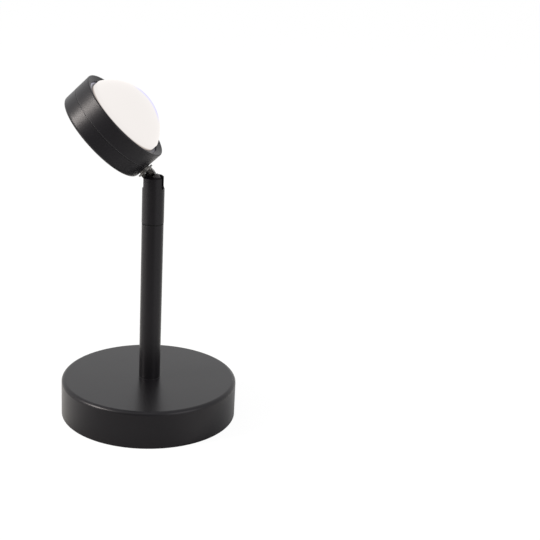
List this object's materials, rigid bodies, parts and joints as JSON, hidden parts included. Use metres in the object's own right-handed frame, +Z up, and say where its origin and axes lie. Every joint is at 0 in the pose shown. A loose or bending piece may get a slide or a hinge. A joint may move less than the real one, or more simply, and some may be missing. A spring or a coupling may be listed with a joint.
{
  "type": "sunset projection lamp",
  "caption": "Table lamp that projects a disc of coloured light: weighted round base, tube stem, swivelling fork with a cross joint, and a drum head with a domed lens.",
  "frame": {"origin": "centre of the pad's face that rests on the table", "axes": "+Z up along the stem, +X towards the side that the lens faces at rest, +Y towards the cable entry"},
  "size_m": [0.1006, 0.1017, 0.1933],
  "materials": {
    "black_paint": "satin",
    "housing_black": "satin",
    "gunmetal": "satin",
    "steel": "bright",
    "brass": "bright",
    "iron": "rough",
    "foam": "matt",
    "rubber": "matt",
    "nylon": "matt",
    "lens": "polished",
    "retainer": "satin",
    "filter": "polished",
    "reflector": "satin",
    "board": "white solder mask",
    "led": "phosphor gel",
    "lead": "satin"
  },
  "bodies": {
    "base": {"base_shell": "black_paint", "base_weight": "iron", "base_plate": "steel", "cover_screws": "steel", "base_pad": "foam", "cable_grommet": "rubber", "stem_nipple": "brass", "lock_washer": "steel", "stem_nut": "brass", "stem_bush": "steel", "stem_tube": "black_paint", "swivel_spindle": "steel", "swivel_washer": "nylon", "stem_leads": "lead", "lead_splices": "nylon"},
    "swivel": {"swivel_sleeve": "black_paint", "grub_screw": "steel", "tilt_screw": "steel"},
    "cross": {"cross_block": "gunmetal"},
    "head": {"head_yoke": "gunmetal", "roll_rivet": "steel", "yoke_washer": "steel", "yoke_nut": "brass", "rear_housing": "housing_black", "front_bezel": "housing_black", "lens": "lens", "lens_retainer": "retainer", "filter_ring": "nylon", "colour_filter": "filter", "reflector": "reflector", "led_board": "board", "led_package": "led", "board_screws": "steel", "head_leads": "lead"}
  },
  "joints": [
    {"name": "swivel", "type": "hinge", "parent": "base", "child": "swivel", "pos_m": [0, 0, 0.1138], "axis": [0, 0, 1], "range_deg": [-175, 175]},
    {"name": "tilt", "type": "hinge", "parent": "swivel", "child": "cross", "pos_m": [0, 0, 0.1388], "axis": [0, 1, 0], "range_deg": [-45, 134]},
    {"name": "roll", "type": "hinge", "parent": "cross", "child": "head", "pos_m": [-0.00266, 0, 0.14151], "axis": [0.7133, 0, 0.7009], "range_deg": [-12, 12]}
  ]
}
